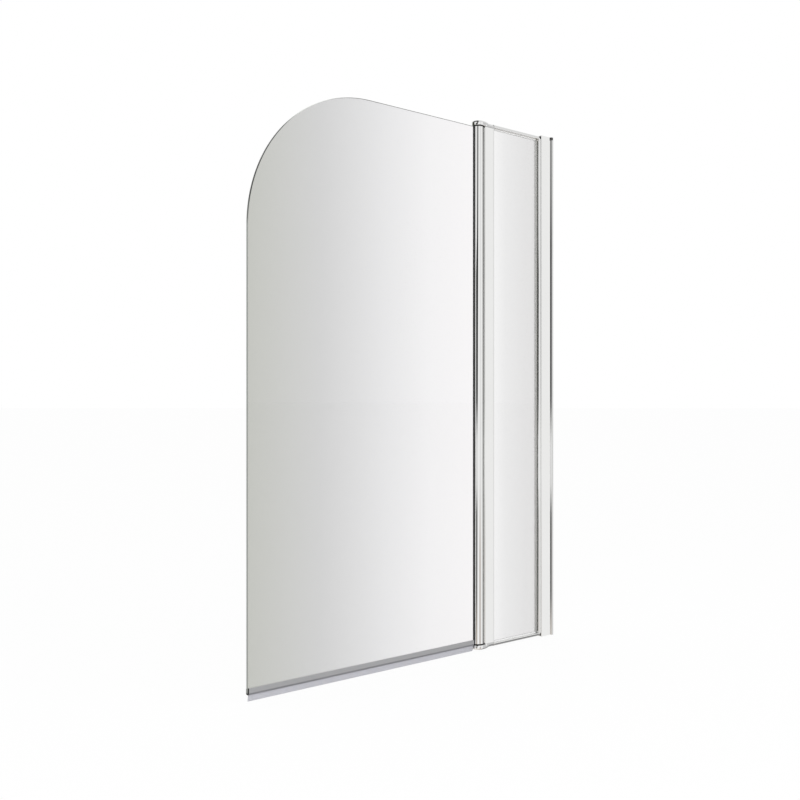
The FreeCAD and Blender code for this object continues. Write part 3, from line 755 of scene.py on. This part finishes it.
def bottom_seal_rings():
    """The clip's outline with round corners, and a fin whose middle line leans by 2.4 s^2 mm
    and whose half thickness goes from 0.9 to 0.35 mm, s from 0 at its root to 1 at its tip."""
    low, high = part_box("bottom_seal")
    root, fin_half, outside, back_top = 0.01375, 0.0009, 0.00425, high[2] - 0.002
    s = np.linspace(0.0, 1.0, 13)
    middle, half, height = 0.0024 * s * s, fin_half - 0.00055 * s, root - (root - low[2]) * s
    clip = rounded([(grip_half, back_top, 0.0003), (outside, back_top, 0.0007), (outside, root, 0.0012),
                    (fin_half, root), (-fin_half, root), (-outside, root, 0.0012),
                    (-outside, high[2], 0.0007), (-grip_half, high[2], 0.0003),
                    (-grip_half, web_top, 0.0004), (grip_half, web_top, 0.0004)])
    after_root = int(np.argmax(np.all(np.isclose(clip, (fin_half, root)), axis=1))) + 1
    back, front = np.column_stack([middle + half, height]), np.column_stack([middle - half, height])
    outline = np.concatenate([clip[:after_root], back[1:], front[:0:-1], clip[after_root:]])
    return carried(outline, low[0], high[0], upright=False)


shell("bottom_seal_strip", bottom_seal_rings(), seal_plastic(), "door", "clear_seal", "bottom_seal")


def end_stop_rings():
    """The clip's outline with rounder corners, its outer corners drawn in over a quarter circle
    of 0.9 mm at the free end."""
    low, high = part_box("seal_end_stop")
    bend, corner, leg_edge = 0.0009, 0.0026, 0.0001
    rings = []
    for angle in np.linspace(0.0, math.pi / 2, 7):
        inset = bend * (1 - math.sin(angle))
        top, side, foot = high[2] - inset, high[1] - inset, low[2] + inset
        outline = rounded([(grip_half, top - 0.002, leg_edge), (side, top - 0.002, leg_edge),
                           (side, foot, corner), (-side, foot, corner), (-side, top, leg_edge),
                           (-grip_half, top, leg_edge), (-grip_half, web_top), (grip_half, web_top)])
        x = np.full(len(outline), low[0] + bend * (1 - math.cos(angle)))
        rings.append(np.column_stack([x, outline]))
    rings.append(rings[-1] + (high[0] - low[0] - bend, 0.0, 0.0))
    return np.stack(rings)


stop_rubber = moulded("black rubber", (0.012, 0.012, 0.012), 0.5, 0.00003)
shell("seal_end_stop_cap", end_stop_rings(), stop_rubber, "door", "dark_rubber", "seal_end_stop")


# ---------------------------------------------------------------------------------------------
# Floor and daylight. A pale floor under the bath rim's level and a white room all round, with
# two large soft lamps. The metal and the glass mirror pale and dark boards round the studio.
# ---------------------------------------------------------------------------------------------
def mirrored_path(tree):
    """The Light Path node, and a value that is 1 for a ray that has left a mirror or the glass's
    face and 0 for one that hasn't."""
    ray = tree.nodes.new("ShaderNodeLightPath")
    after = tree.nodes.new("ShaderNodeMath")
    after.operation = "GREATER_THAN"
    after.inputs[1].default_value = 0.5
    tree.links.new(ray.outputs["Glossy Depth"], after.inputs[0])
    return ray, after.outputs["Value"]


def pale_floor():
    """Pale matt floor. To the camera, straight or through the glass, it is white with a faint
    shadow. A mirrored ray goes through it, to the studio's surroundings."""
    material, tree, shader = new_material("pale floor")
    output = shader.outputs["BSDF"].links[0].to_node
    shader.inputs["Roughness"].default_value = 0.9
    speckle = tree.nodes.new("ShaderNodeTexNoise")
    speckle.inputs["Scale"].default_value = 3.0
    tree.links.new(object_place(tree).outputs["Vector"], speckle.inputs["Vector"])
    tone = tree.nodes.new("ShaderNodeMapRange")
    tone.inputs["To Min"].default_value = 0.88
    tone.inputs["To Max"].default_value = 0.92
    tree.links.new(speckle.outputs["Fac"], tone.inputs["Value"])
    tree.links.new(tone.outputs["Result"], shader.inputs["Base Color"])
    ray, after_mirror = mirrored_path(tree)
    seen = tree.nodes.new("ShaderNodeMath")
    seen.operation = "MAXIMUM"
    tree.links.new(ray.outputs["Is Camera Ray"], seen.inputs[0])
    tree.links.new(ray.outputs["Is Transmission Ray"], seen.inputs[1])
    share = tree.nodes.new("ShaderNodeMath")
    share.operation = "MULTIPLY"
    share.inputs[1].default_value = 0.95
    tree.links.new(seen.outputs["Value"], share.inputs[0])
    white = tree.nodes.new("ShaderNodeEmission")
    white.inputs["Color"].default_value = (1.0, 1.0, 1.0, 1.0)
    lit = tree.nodes.new("ShaderNodeMixShader")
    tree.links.new(share.outputs["Value"], lit.inputs["Fac"])
    tree.links.new(shader.outputs["BSDF"], lit.inputs[1])
    tree.links.new(white.outputs["Emission"], lit.inputs[2])
    through = tree.nodes.new("ShaderNodeBsdfTransparent")
    choice = tree.nodes.new("ShaderNodeMixShader")
    tree.links.new(after_mirror, choice.inputs["Fac"])
    tree.links.new(lit.outputs["Shader"], choice.inputs[1])
    tree.links.new(through.outputs["BSDF"], choice.inputs[2])
    tree.links.new(choice.outputs["Shader"], output.inputs["Surface"])
    return material


def flat_sheet(name, corners):
    """One four-cornered face through the given corners."""
    mesh = bpy.data.meshes.new(name)
    mesh.from_pydata(corners, [], [(0, 1, 2, 3)])
    sheet = bpy.data.objects.new(name, mesh)
    scene.collection.objects.link(sheet)
    return sheet


reach = 400.0
level = cad_box[0][2] - 0.0005
floor = flat_sheet("floor", [(-reach, -reach, level), (reach, -reach, level),
                             (reach, reach, level), (-reach, reach, level)])
floor.data.materials.append(pale_floor())

world = bpy.data.worlds.new("white room")
scene.world = world
world.use_nodes = True
room = world.node_tree
room.nodes.clear()


def by_value(source, stops):
    """A colour ramp read at source; stops are (value of source, grey or colour)."""
    low, high = stops[0][0], stops[-1][0]
    span = room.nodes.new("ShaderNodeMapRange")
    span.inputs["From Min"].default_value = low
    span.inputs["From Max"].default_value = high
    room.links.new(source, span.inputs["Value"])
    ramp = room.nodes.new("ShaderNodeValToRGB")
    fill_ramp(ramp, [((value - low) / (high - low), colour if isinstance(colour, tuple) else (colour,) * 3)
                     for value, colour in stops])
    room.links.new(span.outputs["Result"], ramp.inputs["Fac"])
    return ramp.outputs["Color"]


def combined(factor, first, second):
    """The first colour where the factor is 0, the second where it is 1."""
    mix = room.nodes.new("ShaderNodeMix")
    mix.data_type = "RGBA"
    for source, socket in ((factor, "Factor"), (first, "A"), (second, "B")):
        room.links.new(source, mix.inputs[socket])
    return mix.outputs["Result"]


def worked_out(operation, first, second=0.0):
    """One Math node; each value is a socket or a number."""
    node = room.nodes.new("ShaderNodeMath")
    node.operation = operation
    for value, socket in ((first, node.inputs[0]), (second, node.inputs[1])):
        if isinstance(value, float):
            socket.default_value = value
        else:
            room.links.new(value, socket)
    return node.outputs["Value"]


# What a mirror shows is laid out by bearing and slope. The bearing is 0 towards the front, 90
# degrees to the left and -90 to the right, and the slope is the height over the level distance,
# which is the tangent of the elevation.
line_of_sight = room.nodes.new("ShaderNodeTexCoord")
split = room.nodes.new("ShaderNodeSeparateXYZ")
room.links.new(line_of_sight.outputs["Generated"], split.inputs["Vector"])
to_left = worked_out("MULTIPLY", split.outputs["X"], -1.0)
to_front = worked_out("MULTIPLY", split.outputs["Y"], -1.0)
bearing = worked_out("MULTIPLY", worked_out("ARCTAN2", to_left, to_front), 180.0 / math.pi)
level_reach = worked_out("SQRT", worked_out("ADD", worked_out("MULTIPLY", to_left, to_left),
                                            worked_out("MULTIPLY", to_front, to_front)))
slope = worked_out("DIVIDE", split.outputs["Z"], worked_out("MAXIMUM", level_reach, 0.001))
near_level = worked_out("MINIMUM", worked_out("MAXIMUM", slope, -0.3), 0.3)

# Pale and dark boards all round, a brown one low in front, and one at the left that has a leaning
# edge, is narrower high up and takes its grey from the slope. Beyond a slope of about 0.3, down
# or up, two other ramps take over, which the rounded edges of the rails and the caps mirror.
boards = by_value(bearing, [
    (-180.0, 1.0), (-128.0, 0.85), (-120.0, 0.06), (-72.0, 0.06), (-66.0, 0.85), (-61.0, 0.95), (-57.0, 0.62),
    (-52.0, 0.62), (-49.5, 0.97), (-14.0, 0.96), (-8.0, 0.80), (2.0, 0.82), (12.0, 1.0), (105.0, 0.95),
    (114.0, (0.055, 0.06, 0.045)), (160.0, (0.055, 0.06, 0.045)), (171.0, 1.0), (180.0, 1.0)])
low_board = by_value(bearing, [
    (-180.0, 0.0), (-14.0, 0.0), (-6.0, 1.0), (14.0, 0.8), (20.0, 0.0), (180.0, 0.0)])
low_share = worked_out("MULTIPLY", low_board, by_value(slope, [(-0.16, 0.8), (-0.08, 0.0)]))
left_boards = by_value(slope, [
    (-0.30, (0.60, 0.54, 0.47)), (-0.235, (0.42, 0.36, 0.31)), (-0.20, 0.09), (-0.115, 0.10), (-0.085, 0.75),
    (-0.040, 0.80), (0.0, 0.04), (0.160, 0.03), (0.215, 0.20), (0.30, 0.30)])
leaning = worked_out("ADD", bearing, worked_out("MULTIPLY", near_level, 50.0))
upper = by_value(slope, [(0.13, 0.0), (0.17, 1.0)])
narrowed = worked_out("ADD", bearing, worked_out("MULTIPLY", upper, 17.0))
at_left = worked_out("MULTIPLY", by_value(leaning, [(-250.0, 0.0), (45.0, 0.0), (51.0, 1.0), (250.0, 1.0)]),
                     by_value(narrowed, [(-250.0, 1.0), (80.0, 1.0), (88.0, 0.0), (250.0, 0.0)]))
below = by_value(bearing, [
    (-180.0, 0.90), (-168.0, 0.44), (-90.0, 0.44), (-84.0, 0.36), (-62.0, 0.28), (-54.0, 0.10),
    (-49.5, 0.44), (-35.0, 0.44), (-15.0, (0.75, 0.70, 0.64)), (120.0, (0.92, 0.87, 0.80)), (180.0, 0.9)])
above = by_value(bearing, [
    (-180.0, 0.9), (-100.0, 0.84), (-60.0, 0.78), (-50.0, 0.84), (-20.0, 0.76), (18.0, 0.75), (36.0, 0.03),
    (125.0, 0.03), (180.0, 0.9)])
brown = room.nodes.new("ShaderNodeRGB")
brown.outputs["Color"].default_value = (0.40, 0.33, 0.28, 1.0)
boards = combined(low_share, boards, brown.outputs["Color"])
mirrored_room = combined(at_left, boards, left_boards)
mirrored_room = combined(by_value(slope, [(-0.36, 1.0), (-0.29, 0.0)]), mirrored_room, below)
mirrored_room = combined(by_value(slope, [(0.298, 0.0), (0.34, 1.0)]), mirrored_room, above)

ray, after_mirror = mirrored_path(room)
background = room.nodes.new("ShaderNodeBackground")
colour = room.nodes.new("ShaderNodeMix")
colour.data_type = "RGBA"
colour.inputs["A"].default_value = (1.0, 1.0, 1.0, 1.0)
room.links.new(after_mirror, colour.inputs["Factor"])
room.links.new(mirrored_room, colour.inputs["B"])
room.links.new(colour.outputs["Result"], background.inputs["Color"])
daylight = room.nodes.new("ShaderNodeMapRange")
daylight.inputs["To Min"].default_value = 1.0
daylight.inputs["To Max"].default_value = 0.8
room.links.new(ray.outputs["Is Diffuse Ray"], daylight.inputs["Value"])
room.links.new(daylight.outputs["Result"], background.inputs["Strength"])
room_output = room.nodes.new("ShaderNodeOutputWorld")
room.links.new(background.outputs["Background"], room_output.inputs["Surface"])


def soft_lamp(name, place, target, side, power):
    """A square area lamp at place, turned to face target, unseen in the metal and the glass."""
    data = bpy.data.lights.new(name, "AREA")
    data.shape = "SQUARE"
    data.size = side
    data.energy = power
    lamp = bpy.data.objects.new(name, data)
    lamp.location = place
    lamp.rotation_euler = (Vector(target) - Vector(place)).to_track_quat("-Z", "Y").to_euler()
    lamp.visible_glossy = False
    lamp.visible_transmission = False
    scene.collection.objects.link(lamp)


soft_lamp("window light", (-2.6, -2.4, 2.6), (-0.5, 0.0, 0.7), 1.8, 45.0)
soft_lamp("fill light", (1.2, -2.6, 1.8), (-0.5, 0.0, 0.7), 1.8, 18.0)


# ---------------------------------------------------------------------------------------------
# Camera, at the photograph's place: level, from the left of the door, at a little under half
# the height of the screen. The focal length in pixels is 975 for a frame of 800.
# ---------------------------------------------------------------------------------------------
camera_data = bpy.data.cameras.new("camera")
camera_data.sensor_width = 36.0
frame_pixels, focal_pixels, shift_pixels = 800.0, 975.0, 1.49
camera_data.lens = focal_pixels / frame_pixels * camera_data.sensor_width
camera_data.shift_y = shift_pixels / frame_pixels
camera_data.clip_start = 0.05
camera_data.clip_end = 100.0
camera = bpy.data.objects.new("camera", camera_data)
camera.location = (-2.1365, -1.9055, 0.6721)
camera.rotation_euler = (math.radians(90.0), 0.0, math.radians(-39.625))
scene.collection.objects.link(camera)
scene.camera = camera
scene.view_settings.view_transform = "Standard"
